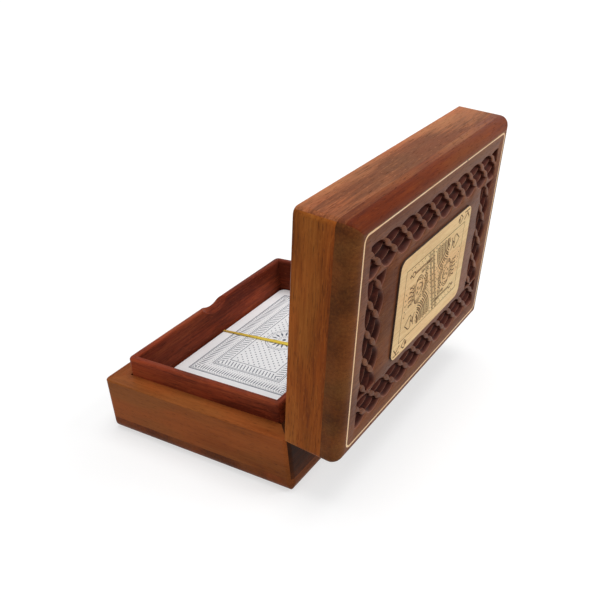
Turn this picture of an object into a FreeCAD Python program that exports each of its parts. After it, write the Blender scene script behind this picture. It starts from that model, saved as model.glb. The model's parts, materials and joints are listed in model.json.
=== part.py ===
import FreeCAD, Part

import math
import os

# Hinged wooden box for one deck of playing cards, with a relief-carved lid.
#
# All sizes are in millimetres.  X runs along the box, with +X the right end seen from the
# front.  Y runs from the front (-Y) to the hinges (+Y).  Z is up, and the origin is the
# centre of the underside.  Every lid piece is drawn closed, then swung open to rest.

# the cards, which the tray is made for
card_length = 88.9
card_width = 63.5
card_corner = 3.2
card_thickness = 0.3
deck_thickness = 10.1
end_room = 16.1              # free length beside the deck
rear_room = 8.5              # free width behind the deck

# outside of the box
base_height = 25.5           # underside to the seam between base and lid
lid_height = 23.0            # seam to the lid's top face
corner_round = 2.6           # upright outer corners
edge_ease = 0.4              # eased outer edges along the seam

# base
base_wall = 8.0
bottom_thickness = 6.8
bottom_round = 4.5           # round-over along the lower edges

# raised liner inside the base walls
liner_thickness = 3.5
lip_height = 8.3             # how far the liner stands above the seam
liner_corner_round = 2.5
lip_round = 1.2
notch_radius = 13.0          # thumb notch, a gouge that slopes down into the box
notch_depth_inside = 4.8
notch_depth_outside = 2.0

# lid
lip_clearance = 0.6          # all round, between the liner and the lid walls
top_thickness = 7.5
top_round = 4.5              # round-over along the upper edges
lid_open_angle = 98.4        # the stop
seam_gap = 0.3               # between the closed rims
stop_gap = 0.1               # between the two stop bevels with the lid open

# inlaid line
inlay_inset = 5.4            # from the lid's edge to the middle of the line
inlay_width = 0.8
inlay_depth = 1.0
inlay_corner = 2.6
glue_line = 0.03

# card-shaped plaque
plaque_length = 61.5
plaque_width = 42.0
plaque_corner = 3.6
plaque_thickness = 1.7
plaque_proud = 0.7           # height above the lid's face
plaque_fit = 0.1

# carved border
border_inset = 10.4          # from the lid's edge to the outer side of the border
cell_pitch = 11.35           # from one slanting bar to the next
cell_row = 4.4               # from one row of cells to the next, across the border
cell_slant = 5.3             # how far a bar leans over one row
first_bar_long = 2.5         # how far the first bar starts outside the long runs
first_bar_end = 4.0          # and outside the end runs
outer_arch = 1.2             # bulge of the outer row's arches
inner_point = 3.0            # how far the inner row's cells reach past their last knots
pad_half_width = 1.15        # pads left at face level along each bar, widest half-way
neck_half_width = 0.15       # where one pad meets the next
cell_depth = 2.4             # under the face, at the deep side of a cell
ridge_depth = 0.9            # under the face, at the ridge between two cells
border_room = 0.4            # between an end run and the long runs

# hinges
axis_inset = 1.5             # from the rear face to the pin
hinge_length = 22.0
hinge_setback = 24.0         # from the end of the box to the middle of a hinge
leaf_thickness = 0.9
leaf_reach = 5.2             # from the pin to the leaf's far edge
barrel_radius = 1.4
pin_radius = 0.7
pin_clearance = 0.04         # the lid leaf turns on the pin
pin_fit = 0.02               # the base leaf holds the pin
knuckle_gap = 0.15
knuckle_recess = 0.3         # room round the barrel in the wood
leaf_fit = 0.05
nail_spacing = 12.0
nail_setback = 3.3           # from the hinge pin to the nails
nail_radius = 0.75
nail_length = 7.0
nail_clearance = 0.02

# how the deck lies, and its rubber band
deck_end_gap = 0.4           # from the deck to the left end of the liner
band_front_gap = 0.25        # from the rubber band to the front of the liner
band_width = 1.6
band_thickness = 0.6
band_gap = 0.05              # between the rubber band and the cards
band_place = 41.3            # from the deck's right end to the rubber band
band_skew = 4.0              # degrees off square
band_corner = 0.7

# places that follow from the sizes above
liner_inner_x = card_length + end_room
liner_inner_y = card_width + rear_room
cavity_x = liner_inner_x + 2 * liner_thickness
cavity_y = liner_inner_y + 2 * liner_thickness
length = cavity_x + 2 * base_wall
width = cavity_y + 2 * base_wall
seam_low = base_height - seam_gap / 2
seam_high = base_height + seam_gap / 2
lid_top = base_height + lid_height
lid_wall = base_wall - lip_clearance
lid_underside = lid_top - top_thickness
lip_top = base_height + lip_height
axis_y = width / 2 - axis_inset
bevel_slope = math.tan(math.radians(lid_open_angle / 2))
overrun = 1.0                # how far cutting solids pass the face that they cut


def point(x, y, z=0.0):
    return FreeCAD.Vector(x, y, z)


def block(x_low, x_high, y_low, y_high, z_low, z_high):
    return Part.makeBox(x_high - x_low, y_high - y_low, z_high - z_low, point(x_low, y_low, z_low))


def prism(points, z_low, z_high):
    """Upright prism over a closed polygon of (x, y) pairs."""
    corners = [point(x, y, z_low) for x, y in points]
    face = Part.Face(Part.makePolygon(corners + corners[:1]))
    return face.extrude(point(0, 0, z_high - z_low))


def rounded_prism(x_size, y_size, z_low, z_high, corner):
    """Upright block centred on the origin, with rounded upright corners."""
    body = block(-x_size / 2, x_size / 2, -y_size / 2, y_size / 2, z_low, z_high)
    uprights = [edge for edge in body.Edges if edge.tangentAt(edge.FirstParameter).z ** 2 > 0.99]
    return body.makeFillet(corner, uprights)


def edges_at(body, z_level):
    """All edges that lie in the level plane at z_level."""
    near = 1e-4
    return [edge for edge in body.Edges
            if abs(edge.BoundBox.ZMin - z_level) < near and abs(edge.BoundBox.ZMax - z_level) < near]


def round_over_board(x_size, y_size, thickness, radius, corner):
    """Board lying on z = 0 with rounded uprights, rounded-over lower edges and ball-like lower corners."""
    board = block(-x_size / 2, x_size / 2, -y_size / 2, y_size / 2, 0, thickness)
    board = board.makeFillet(radius, edges_at(board, 0))
    board = board.common(rounded_prism(x_size, y_size, 0, thickness, corner))
    ball_radius = radius * math.sqrt(2) - corner * (math.sqrt(2) - 1)
    for x_centre in (-x_size / 2 + radius, x_size / 2 - radius):
        for y_centre in (-y_size / 2 + radius, y_size / 2 - radius):
            x_reach = math.copysign(radius + overrun, x_centre)
            y_reach = math.copysign(radius + overrun, y_centre)
            lump = block(min(x_centre, x_centre + x_reach), max(x_centre, x_centre + x_reach),
                         min(y_centre, y_centre + y_reach), max(y_centre, y_centre + y_reach),
                         -overrun, radius)
            ball = Part.makeSphere(ball_radius, point(x_centre, y_centre, radius))
            board = board.cut(lump.cut(ball))
    return board


def frame_ring(x_size, y_size, wall, z_low, z_high, corner):
    """Four walls in one, before they are parted at the mitres."""
    outer = rounded_prism(x_size, y_size, z_low, z_high, corner)
    inner = block(-x_size / 2 + wall, x_size / 2 - wall, -y_size / 2 + wall, y_size / 2 - wall,
                  z_low - overrun, z_high + overrun)
    return outer.cut(inner)


def mitred_walls(ring, x_size, y_size, wall):
    """Part a ring at its 45 degree mitres into front, rear, left_end and right_end."""
    z_low = ring.BoundBox.ZMin - overrun
    z_high = ring.BoundBox.ZMax + overrun
    far_x, far_y = x_size / 2 + overrun, y_size / 2 + overrun
    near_x, near_y = x_size / 2 - wall - overrun, y_size / 2 - wall - overrun
    plans = {
        "front": [(-far_x, -far_y), (far_x, -far_y), (near_x, -near_y), (-near_x, -near_y)],
        "rear": [(-far_x, far_y), (-near_x, near_y), (near_x, near_y), (far_x, far_y)],
        "left_end": [(-far_x, -far_y), (-near_x, -near_y), (-near_x, near_y), (-far_x, far_y)],
        "right_end": [(far_x, -far_y), (far_x, far_y), (near_x, near_y), (near_x, -near_y)],
    }
    return {side: ring.common(prism(plan, z_low, z_high)) for side, plan in plans.items()}


def along_x(section, x_low, x_high):
    """Prism along X over a closed section of (y, z) pairs."""
    corners = [point(x_low, y, z) for y, z in section]
    face = Part.Face(Part.makePolygon(corners + corners[:1]))
    return face.extrude(point(x_high - x_low, 0, 0))


def rod(radius, x_low, x_high):
    """Cylinder along the hinge line."""
    return Part.makeCylinder(radius, x_high - x_low, point(x_low, axis_y, base_height), point(1, 0, 0))


def mirrored_at_seam(shape):
    return shape.mirror(point(0, 0, base_height), point(0, 0, 1))


# hinges, drawn closed for the base side; the lid side is mirrored at the seam

def hinge_spans(x_middle):
    """The two outer knuckles belong to the base leaf and the middle one to the lid leaf."""
    third = hinge_length / 3
    low, high = x_middle - hinge_length / 2, x_middle + hinge_length / 2
    half_gap = knuckle_gap / 2
    outer = [(low, low + third - half_gap), (high - third + half_gap, high)]
    middle = [(low + third + half_gap, high - third - half_gap)]
    return outer, middle


def nail(x_middle, side, grow):
    """Brass nail peened level with the base leaf's face; grow widens it into its hole."""
    height = nail_length + grow + (overrun if grow else 0)
    return Part.makeCylinder(nail_radius + grow, height, point(
        x_middle + side * nail_spacing / 2, axis_y - nail_setback, seam_low - nail_length - grow))


def hinge_leaf(x_middle, own_spans, other_spans, bore_clearance):
    low, high = x_middle - hinge_length / 2, x_middle + hinge_length / 2
    leaf = block(low, high, axis_y - leaf_reach, axis_y, seam_low - leaf_thickness, seam_low)
    for x_low, x_high in other_spans:
        leaf = leaf.cut(rod(barrel_radius + knuckle_gap, x_low - knuckle_gap, x_high + knuckle_gap))
    for x_low, x_high in own_spans:
        leaf = leaf.fuse(rod(barrel_radius, x_low, x_high))
    leaf = leaf.cut(rod(pin_radius + bore_clearance, low - overrun, high + overrun))
    for side in (-1, 1):
        leaf = leaf.cut(nail(x_middle, side, nail_clearance))
    return leaf.removeSplitter()


def hinge_pocket(x_middle):
    """The wood that makes room for one leaf, the barrel and two nails."""
    half = hinge_length / 2 + leaf_fit
    bed = block(x_middle - half, x_middle + half, axis_y - leaf_reach - leaf_fit, axis_y + overrun,
                seam_low - leaf_thickness, seam_low + overrun)
    reach = hinge_length / 2 + knuckle_recess
    pocket = bed.fuse(rod(barrel_radius + knuckle_recess, x_middle - reach, x_middle + reach))
    for side in (-1, 1):
        pocket = pocket.fuse(nail(x_middle, side, nail_clearance))
    return pocket


def stop_bevel():
    """Wedge cut off the base's rear upper edge; the lid's twin meets it at the stop."""
    reach = axis_inset + overrun
    start = seam_low - stop_gap / 2
    section = [(axis_y, start), (axis_y + reach, start - reach * bevel_slope),
               (axis_y + reach, seam_low + overrun), (axis_y, seam_low + overrun)]
    return along_x(section, -length / 2 - overrun, length / 2 + overrun)


# carved border: three rows of scooped cells between slanting bars

def bar_edge(start, rows, side):
    """Edge of the bar that begins at start, rows of cells further in; side is -1 (left) or 1 (right)."""
    half = pad_half_width if rows % 1 else neck_half_width
    offset = side * half / math.hypot(cell_slant, cell_row)
    return point(start.x + cell_slant * rows + cell_row * offset,
                 start.y + cell_row * rows - cell_slant * offset)


def arc_through(first, middle, last):
    return Part.Arc(first, middle, last).toShape()


def straight_edges(points):
    return [Part.makeLine(first, last) for first, last in zip(points, points[1:])]


def scoop(edges, rim_start, rim_end):
    """Cutter over a closed outline; its floor rises to ridge_depth at the line start to end."""
    flat = Part.Face(Part.Wire(edges))
    flat.translate(point(0, 0, -cell_depth))
    cutter = flat.extrude(point(0, 0, cell_depth + overrun))
    run = rim_end - rim_start
    back = point(run.y, -run.x).normalize()
    rise = (cell_depth - ridge_depth) / cell_row
    reach = 2 * cell_pitch
    below = Part.makeBox(2 * reach, 2 * reach, reach, point(-reach, -reach, 0))
    below.Placement = FreeCAD.Placement(rim_start - point(0, 0, ridge_depth), FreeCAD.Rotation(
        point(0, 0, 1), point(-rise * back.x, -rise * back.y, -1)))
    return cutter.cut(below)


def column_cells(left):
    """The outer, middle and inner cell between the bar that starts at left and the next one."""
    right = left + point(cell_pitch, 0)
    outer_crown = (left + right) / 2 - point(0, outer_arch)
    inner_crown = (left + right) / 2 + point(2 * cell_slant, 2 * cell_row + inner_point)
    near = [bar_edge(left, half_rows / 2, 1) for half_rows in range(5)]
    far = [bar_edge(right, half_rows / 2, -1) for half_rows in range(5)]
    outer = [arc_through(near[0], outer_crown, far[0])]
    outer += straight_edges([far[0], far[1], near[2], near[1], near[0]])
    middle = straight_edges([near[2], far[1], far[2], far[3], near[4], near[3], near[2]])
    inner = straight_edges([near[4], far[3], far[4], inner_crown, near[4]])
    return [scoop(outer, near[2], far[1]), scoop(middle, near[4], far[3]),
            scoop(inner, inner_crown, inner_crown + point(1, 0))]


def border_run(run_length, first_bar):
    """Cells of one straight run, drawn along +X from the origin and across along +Y."""
    clip = block(0, run_length, 0, border_width, -cell_depth - overrun, 2 * overrun)
    cells = []
    for column in range(-2, math.ceil(run_length / cell_pitch) + 2):
        for cell in column_cells(point(column * cell_pitch - first_bar, outer_arch)):
            if 0 < cell.BoundBox.Center.x < run_length:
                cells.append(cell.common(clip))
    return cells


def carved_border():
    """All four runs on the closed lid's top face."""
    long_run = border_run(length - 2 * border_inset, first_bar_long)
    end_length = width - 2 * (border_inset + border_width + border_room)
    end_run = border_run(end_length, first_bar_end)
    far_side = border_inset + border_width
    cells = []
    for y_start in (-width / 2 + border_inset, width / 2 - far_side):
        for cell in long_run:
            cell = cell.mirror(point(0, 0), point(1, 0))
            cell.translate(point(length / 2 - border_inset, y_start, lid_top))
            cells.append(cell)
    for x_start in (length / 2 - border_inset, -length / 2 + far_side):
        for cell in end_run:
            cell = cell.copy()
            cell.rotate(point(0, 0), point(0, 0, 1), 90)
            cell.translate(point(x_start, -end_length / 2, lid_top))
            cells.append(cell)
    return cells


def base_pieces():
    bottom = round_over_board(length, width, bottom_thickness, bottom_round, corner_round)

    walls = frame_ring(length, width, base_wall, bottom_thickness, seam_low, corner_round)
    rim = [edge for edge in edges_at(walls, seam_low)
           if max(abs(edge.CenterOfMass.x) - length / 2, abs(edge.CenterOfMass.y) - width / 2) > -corner_round]
    walls = walls.makeChamfer(edge_ease, rim).cut(stop_bevel())
    for x_middle in hinge_middles:
        walls = walls.cut(hinge_pocket(x_middle))
    pieces = {"base_bottom_board": bottom}
    for side, wall in mitred_walls(walls, length, width, base_wall).items():
        pieces["base_" + side + "_wall"] = wall

    liner = frame_ring(cavity_x, cavity_y, liner_thickness, bottom_thickness, lip_top, liner_corner_round)
    liner = liner.makeFillet(lip_round, edges_at(liner, lip_top)).cut(thumb_notch())
    for side, strip in mitred_walls(liner, cavity_x, cavity_y, liner_thickness).items():
        pieces["liner_" + side] = strip
    return pieces


def thumb_notch():
    """Cylinder across the front liner that dips towards the inside of the box."""
    tilt = math.atan((notch_depth_inside - notch_depth_outside) / liner_thickness)
    inner_face = -liner_inner_y / 2
    direction = point(0, -math.cos(tilt), math.sin(tilt))
    reach = 4 * liner_thickness
    centre = point(0, inner_face, lip_top - notch_depth_inside + notch_radius / math.cos(tilt))
    return Part.makeCylinder(notch_radius, 2 * reach, centre - direction * reach, direction)


def hinge_pieces():
    base_side, lid_side = {}, {}
    base_nails, lid_nails = [], []
    for name, x_middle in zip(("left", "right"), hinge_middles):
        outer, middle = hinge_spans(x_middle)
        base_side["hinge_base_leaf_" + name] = hinge_leaf(x_middle, outer, middle, pin_fit)
        lid_leaf = mirrored_at_seam(hinge_leaf(x_middle, middle, outer, pin_clearance))
        lid_side["hinge_lid_leaf_" + name] = lid_leaf
        half = hinge_length / 2
        base_side["hinge_pin_" + name] = rod(pin_radius, x_middle - half, x_middle + half)
        for side in (-1, 1):
            base_nails.append(nail(x_middle, side, 0))
            lid_nails.append(mirrored_at_seam(nail(x_middle, side, 0)))
    base_side["hinge_base_nails"] = Part.makeCompound(base_nails)
    lid_side["hinge_lid_nails"] = Part.makeCompound(lid_nails)
    return base_side, lid_side


def lid_pieces():
    walls = frame_ring(length, width, lid_wall, seam_high, lid_underside, corner_round)
    rim = [edge for edge in edges_at(walls, seam_high)
           if max(abs(edge.CenterOfMass.x) - length / 2, abs(edge.CenterOfMass.y) - width / 2) > -corner_round]
    walls = walls.makeChamfer(edge_ease, rim).cut(mirrored_at_seam(stop_bevel()))
    for x_middle in hinge_middles:
        walls = walls.cut(mirrored_at_seam(hinge_pocket(x_middle)))
    pieces = {}
    for side, wall in mitred_walls(walls, length, width, lid_wall).items():
        pieces["lid_" + side + "_wall"] = wall

    board = round_over_board(length, width, top_thickness, top_round, corner_round)
    board.rotate(point(0, 0), point(1, 0), 180)
    board.translate(point(0, 0, lid_top))
    board = board.cut(inlay_ring(glue_line)).cut(plaque_form(plaque_fit)).cut(carved_border())
    pieces["lid_top_board"] = board
    pieces["lid_inlay_line"] = inlay_ring(0)
    pieces["lid_plaque"] = plaque_form(0)
    return pieces


def inlay_ring(grow):
    """Thin strip let into the lid all round; grow widens it into the groove that holds it."""
    x_size, y_size = length - 2 * inlay_inset, width - 2 * inlay_inset
    half = inlay_width / 2 + grow
    low = lid_top - inlay_depth
    high = lid_top + (overrun if grow else 0)
    outer = rounded_prism(x_size + 2 * half, y_size + 2 * half, low, high, inlay_corner + half)
    inner = rounded_prism(x_size - 2 * half, y_size - 2 * half, low - overrun, high + overrun,
                          inlay_corner - half)
    return outer.cut(inner)


def plaque_form(grow):
    return rounded_prism(plaque_length + 2 * grow, plaque_width + 2 * grow,
                         lid_top + plaque_proud - plaque_thickness, lid_top + plaque_proud,
                         plaque_corner + grow)


def deck_pieces():
    right_end = -liner_inner_x / 2 + deck_end_gap + card_length
    front_gap = band_front_gap + band_thickness + band_gap
    centre = point(right_end - card_length / 2, -liner_inner_y / 2 + front_gap + card_width / 2)
    low = bottom_thickness + band_thickness + band_gap
    high = low + deck_thickness
    cards = rounded_prism(card_length, card_width, low, high - card_thickness, card_corner)
    top_card = rounded_prism(card_length, card_width, high - card_thickness, high, card_corner)
    for card in (cards, top_card):
        card.translate(centre)

    hole_y, hole_z = card_width + 2 * band_gap, deck_thickness + 2 * band_gap
    outer_y, outer_z = hole_y + 2 * band_thickness, hole_z + 2 * band_thickness
    half_wide = card_width / 2
    loop = block(-half_wide, half_wide, -outer_y / 2, outer_y / 2, -outer_z / 2, outer_z / 2)
    lengthwise = [edge for edge in loop.Edges if edge.tangentAt(edge.FirstParameter).x ** 2 > 0.99]
    loop = loop.makeFillet(band_corner, lengthwise)
    loop = loop.cut(block(-card_width, card_width, -hole_y / 2, hole_y / 2, -hole_z / 2, hole_z / 2))
    skew = math.radians(band_skew)
    reach = outer_y / 2 + overrun
    lean, half = reach * math.tan(skew), band_width / 2 / math.cos(skew)
    strip = prism([(lean - half, -reach), (lean + half, -reach), (half - lean, reach), (-half - lean, reach)],
                  -outer_z, outer_z)
    band = loop.common(strip)
    band.translate(point(right_end - band_place, centre.y, (low + high) / 2))
    return {"card_stack": cards, "top_card": top_card, "rubber_band": band}


def swing_open(shape):
    turned = shape.copy()
    turned.rotate(point(0, axis_y, base_height), point(1, 0, 0), -lid_open_angle)
    return turned


border_width = outer_arch + 2 * cell_row + inner_point
hinge_middles = (hinge_setback - length / 2, length / 2 - hinge_setback)

base_hinges, lid_hinges = hinge_pieces()
parts = {}
parts.update(base_pieces())
parts.update(base_hinges)
parts.update(deck_pieces())
for name, shape in {**lid_pieces(), **lid_hinges}.items():
    parts[name] = swing_open(shape)

os.makedirs("parts", exist_ok=True)
for name, shape in parts.items():
    shape.exportStep("parts/" + name + ".step")
    print(name, "solids", len(shape.Solids), "valid", shape.isValid(), "volume", round(shape.Volume, 2))
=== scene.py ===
import json
import math
import random

import bmesh
import bpy
from mathutils import Matrix, Vector
from mathutils.geometry import delaunay_2d_cdt


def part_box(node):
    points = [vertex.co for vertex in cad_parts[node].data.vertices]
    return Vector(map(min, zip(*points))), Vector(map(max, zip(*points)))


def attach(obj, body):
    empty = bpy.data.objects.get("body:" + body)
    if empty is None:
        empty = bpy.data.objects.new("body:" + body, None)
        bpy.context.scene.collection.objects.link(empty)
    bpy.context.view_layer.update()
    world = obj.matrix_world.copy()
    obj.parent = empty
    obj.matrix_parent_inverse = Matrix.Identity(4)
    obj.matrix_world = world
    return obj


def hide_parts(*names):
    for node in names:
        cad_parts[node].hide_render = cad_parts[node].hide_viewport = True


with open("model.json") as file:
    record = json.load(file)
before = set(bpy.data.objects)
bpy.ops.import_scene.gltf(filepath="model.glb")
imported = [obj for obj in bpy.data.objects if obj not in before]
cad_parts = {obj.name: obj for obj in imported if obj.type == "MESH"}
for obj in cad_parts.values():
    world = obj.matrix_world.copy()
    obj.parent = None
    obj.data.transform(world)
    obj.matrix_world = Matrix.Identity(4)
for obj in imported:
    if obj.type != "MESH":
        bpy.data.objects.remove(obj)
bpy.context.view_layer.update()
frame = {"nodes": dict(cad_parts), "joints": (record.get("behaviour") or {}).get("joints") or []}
nodes = frame["nodes"]
mm = 0.001

hinge = next(joint for joint in frame["joints"] if joint["name"] == "lid_hinge")
hingeAt = Vector(hinge["pos_m"])
lidTilt = math.radians(hinge["range_deg"][0])
openLid = Matrix.Translation(hingeAt) @ Matrix.Rotation(lidTilt, 4, "X") @ Matrix.Translation(-hingeAt)


def closedBox(name):
    # a lid node's box, measured with the lid shut
    back = openLid.inverted()
    points = [back @ vertex.co for vertex in nodes[name].data.vertices]
    return (Vector([min(p[k] for p in points) for k in range(3)]),
            Vector([max(p[k] for p in points) for k in range(3)]))


def socketOf(group, name, kind, inOut, value=None):
    made = group.interface.new_socket(name=name, in_out=inOut, socket_type=kind)
    if value is not None:
        made.default_value = value
    return made


class Graph:
    # short names for building a node tree
    def __init__(self, tree):
        self.tree = tree

    def add(self, kind, settings=None, **links):
        made = self.tree.nodes.new(kind)
        for key, value in (settings or {}).items():
            setattr(made, key, value)
        for key, value in links.items():
            self.feed(made, key, value)
        return made

    def feed(self, made, key, value):
        # in0, in1 and so on are inputs by number, the rest by name
        numbered = key.startswith("in") and key[2:].isdigit()
        target = made.inputs[int(key[2:]) if numbered else key.replace("_", " ")]
        if isinstance(value, bpy.types.NodeSocket):
            self.tree.links.new(value, target)
        else:
            target.default_value = value

    def calc(self, operation, first, second=0.5, third=None):
        made = self.add("ShaderNodeMath", {"operation": operation}, in0=first, in1=second)
        if third is not None:
            self.feed(made, "in2", third)
        return made.outputs[0]

    def span(self, value, low, high, start=0.0, end=1.0):
        made = self.add("ShaderNodeMapRange", {"clamp": True}, Value=value)
        for key, number in (("From Min", low), ("From Max", high), ("To Min", start), ("To Max", end)):
            made.inputs[key].default_value = number
        return made.outputs[0]

    def mix(self, factor, first, second, blend="MIX"):
        made = self.add("ShaderNodeMix", {"data_type": "RGBA", "blend_type": blend})
        self.feed(made, "in0", factor)
        self.feed(made, "in6", first)
        self.feed(made, "in7", second)
        return made.outputs[2]

    def noise(self, vector, scale, detail=2.0, rough=0.5):
        return self.add("ShaderNodeTexNoise", None, Vector=vector, Scale=scale, Detail=detail,
                        Roughness=rough).outputs[0]

    def stretch(self, vector, factors):
        made = self.add("ShaderNodeVectorMath", {"operation": "MULTIPLY"}, in0=vector)
        made.inputs[1].default_value = factors
        return made.outputs[0]

    def size(self, value):
        # the value without its sign
        return self.calc("ABSOLUTE", value, 0.0)

    def bump(self, shader, strength, distance, height):
        made = self.add("ShaderNodeBump", None, Strength=strength, Distance=distance, Height=height)
        self.feed(shader, "Normal", made.outputs[0])

    def shownRays(self):
        # 1 for the rays that see the background: camera, glossy and transmission
        paths = self.add("ShaderNodeLightPath").outputs
        direct = self.calc("MAXIMUM", paths["Is Camera Ray"], paths["Is Glossy Ray"])
        return self.calc("MAXIMUM", direct, paths["Is Transmission Ray"])


def linear(red, green, blue):
    # screen colour 0..255 to scene-linear
    shares = [value / 255 for value in (red, green, blue)]
    return tuple(((c + 0.055) / 1.055) ** 2.4 if c > 0.04 else c / 12.92 for c in shares) + (1,)


def shaded(tone, factor):
    # the same colour, darker
    return tuple(factor * c for c in tone[:3]) + (1,)


def tones(light, mid, dark):
    return {"light": linear(*light), "mid": linear(*mid), "dark": linear(*dark)}


grainLook = {
    # cells per metre along the grain and across it
    "wander": (9, 45, 45), "broad": (7, 38, 38), "fibre": (60, 1100, 1100), "patch": (24, 90, 90),
    "fleck": (420, 2400, 2400), "pore": (280, 4600, 4600),
    "ringsAcross": 150.0, "ringsUp": 95.0, "ringsBend": 13.0,
    "ringShare": 0.34, "broadShare": 0.78, "fibreShare": 0.62, "fibreLevel": -0.37,
    "warm": (1.06, 0.94, 0.82, 1), "cool": (0.92, 1.0, 0.94, 1), "tintShare": 0.9,
    "fleckShare": 0.45, "poreShare": 0.55, "poreRough": 0.18, "fibreRough": 0.16, "fibreHeight": 0.35,
}


def woodGroup():
    # grain runs along the X of the vector that comes in, in metres
    look = grainLook
    tree = bpy.data.node_groups.new("woodGrain", "ShaderNodeTree")
    socketOf(tree, "Vector", "NodeSocketVector", "INPUT")
    for name in ("Light", "Mid", "Dark", "Pore"):
        socketOf(tree, name, "NodeSocketColor", "INPUT")
    socketOf(tree, "Bands", "NodeSocketFloat", "INPUT", 1.0)
    socketOf(tree, "Color", "NodeSocketColor", "OUTPUT")
    socketOf(tree, "Roughness", "NodeSocketFloat", "OUTPUT")
    socketOf(tree, "Height", "NodeSocketFloat", "OUTPUT")
    g = Graph(tree)
    inside = g.add("NodeGroupInput").outputs
    place = inside["Vector"]

    def figure(name, detail, rough):
        return g.noise(g.stretch(place, look[name]), 1.0, detail, rough)

    # year rings
    wander = figure("wander", 3.0, 0.55)
    split = g.add("ShaderNodeSeparateXYZ", None, Vector=place).outputs
    across = g.calc("ADD", g.calc("MULTIPLY", split[1], look["ringsAcross"]),
                    g.calc("MULTIPLY", split[2], look["ringsUp"]))
    phase = g.calc("ADD", across, g.calc("MULTIPLY", wander, look["ringsBend"]))
    rings = g.calc("MULTIPLY_ADD", g.calc("SINE", phase, 0.0), 0.5, 0.5)
    broad = figure("broad", 2.0, 0.5)
    fibre = figure("fibre", 2.0, 0.6)
    level = g.calc("ADD", g.calc("MULTIPLY", g.calc("MULTIPLY", rings, inside["Bands"]), look["ringShare"]),
                   g.calc("MULTIPLY", broad, look["broadShare"]))
    level = g.calc("ADD", level, g.calc("MULTIPLY_ADD", fibre, look["fibreShare"], look["fibreLevel"]))
    low = g.mix(g.span(level, 0.26, 0.50), inside["Dark"], inside["Mid"])
    tone = g.mix(g.span(level, 0.50, 0.80), low, inside["Light"])
    # warmer and cooler stretches
    patch = g.span(figure("patch", 2.0, 0.6), 0.38, 0.62)
    tint = g.mix(patch, look["warm"], look["cool"])
    tone = g.mix(g.calc("MULTIPLY", inside["Bands"], look["tintShare"]), tone, tint, "MULTIPLY")
    # pale flecks and dark open pores
    flecks = g.span(figure("fleck", 1.0, 0.5), 0.62, 0.74)
    tone = g.mix(g.calc("MULTIPLY", flecks, look["fleckShare"]), tone, inside["Light"])
    pores = g.span(figure("pore", 1.0, 0.4), 0.60, 0.72)
    tone = g.mix(g.calc("MULTIPLY", pores, look["poreShare"]), tone, inside["Pore"])
    rough = g.calc("ADD", g.calc("MULTIPLY", pores, look["poreRough"]),
                   g.calc("MULTIPLY_ADD", fibre, look["fibreRough"], -look["fibreRough"] / 2))
    g.add("NodeGroupOutput", None, Color=tone, Roughness=rough,
          Height=g.calc("SUBTRACT", g.calc("MULTIPLY", fibre, look["fibreHeight"]), pores))
    return tree


woodGrain = woodGroup()


def newMaterial(name, **settings):
    made = bpy.data.materials.new(name)
    made.use_nodes = True
    shader = made.node_tree.nodes["Principled BSDF"]
    for key, value in settings.items():
        shader.inputs[key.replace("_", " ")].default_value = value
    return made, Graph(made.node_tree), shader


def grainPlace(g, along, turned, shift):
    # object coordinates with the grain along X, turned back with the lid where it needs it
    place = g.add("ShaderNodeTexCoord").outputs["Object"]
    if turned:
        place = g.add("ShaderNodeVectorRotate", {"rotation_type": "X_AXIS", "invert": True},
                      Vector=place, Center=tuple(hingeAt), Angle=lidTilt).outputs[0]
    if along == "Y":
        place = g.add("ShaderNodeVectorRotate", {"rotation_type": "Z_AXIS"}, Vector=place,
                      Angle=math.pi / 2).outputs[0]
    return g.add("ShaderNodeVectorMath", {"operation": "ADD"}, in0=place, in1=shift).outputs[0]


woodLook = {
    "roughness": 0.42,
    "grainBump": 0.00006,
    "wall": tones((150, 82, 38), (126, 64, 26), (94, 44, 18)),
    "lidFront": tones((186, 121, 82), (163, 99, 66), (116, 68, 44)),
    "lidEnd": tones((180, 104, 46), (152, 80, 30), (114, 55, 21)),
    "baseEnd": tones((160, 90, 46), (139, 75, 35), (116, 58, 26)),
    # painted shade: darker tone for the rear walls, which lie in shade under the open lid
    "rear": tones((90, 48, 26), (70, 35, 18), (50, 25, 13)),
    # painted highlight: paler tone for the ridge crests
    "ridge": tones((172, 126, 106), (150, 104, 86), (122, 80, 66)),
    "board": tones((145, 93, 60), (121, 73, 47), (98, 54, 34)),
    "boardSide": tones((152, 90, 54), (126, 70, 42), (98, 50, 30)),
    # painted shade: darker tone for the top board's rounded edge
    "boardRoundShade": tones((126, 62, 28), (106, 46, 20), (86, 34, 14)),
    "boardEnd": tones((132, 80, 42), (111, 64, 32), (88, 48, 24)),
    "liner": tones((168, 82, 48), (134, 58, 36), (92, 37, 24)),
    "bottom": tones((142, 76, 38), (120, 62, 31), (92, 46, 23)),
    "pore": linear(52, 24, 12),
}


def grainOn(g, place, look, pore, bands):
    return g.add("ShaderNodeGroup", {"node_tree": woodGrain}, Vector=place, Light=look["light"],
                 Mid=look["mid"], Dark=look["dark"], Pore=pore, Bands=bands).outputs


def woodMaterial(name, wood, along="X", turned=False, shift=(0, 0, 0), bands=1.0, gloss=0.05,
                 roughness=None):
    made, g, shader = newMaterial(name, Specular_IOR_Level=gloss)
    grain = grainOn(g, grainPlace(g, along, turned, shift), woodLook[wood], woodLook["pore"], bands)
    g.feed(shader, "Base_Color", grain["Color"])
    g.feed(shader, "Roughness", g.calc("ADD", grain["Roughness"], roughness or woodLook["roughness"]))
    g.bump(shader, 0.6, woodLook["grainBump"], grain["Height"])
    return made


def paint(name, material):
    for slot in nodes[name].material_slots:
        slot.link = "OBJECT"
        slot.material = material


def place3(x, y, z):
    return (x * mm, y * mm, z * mm)
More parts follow.
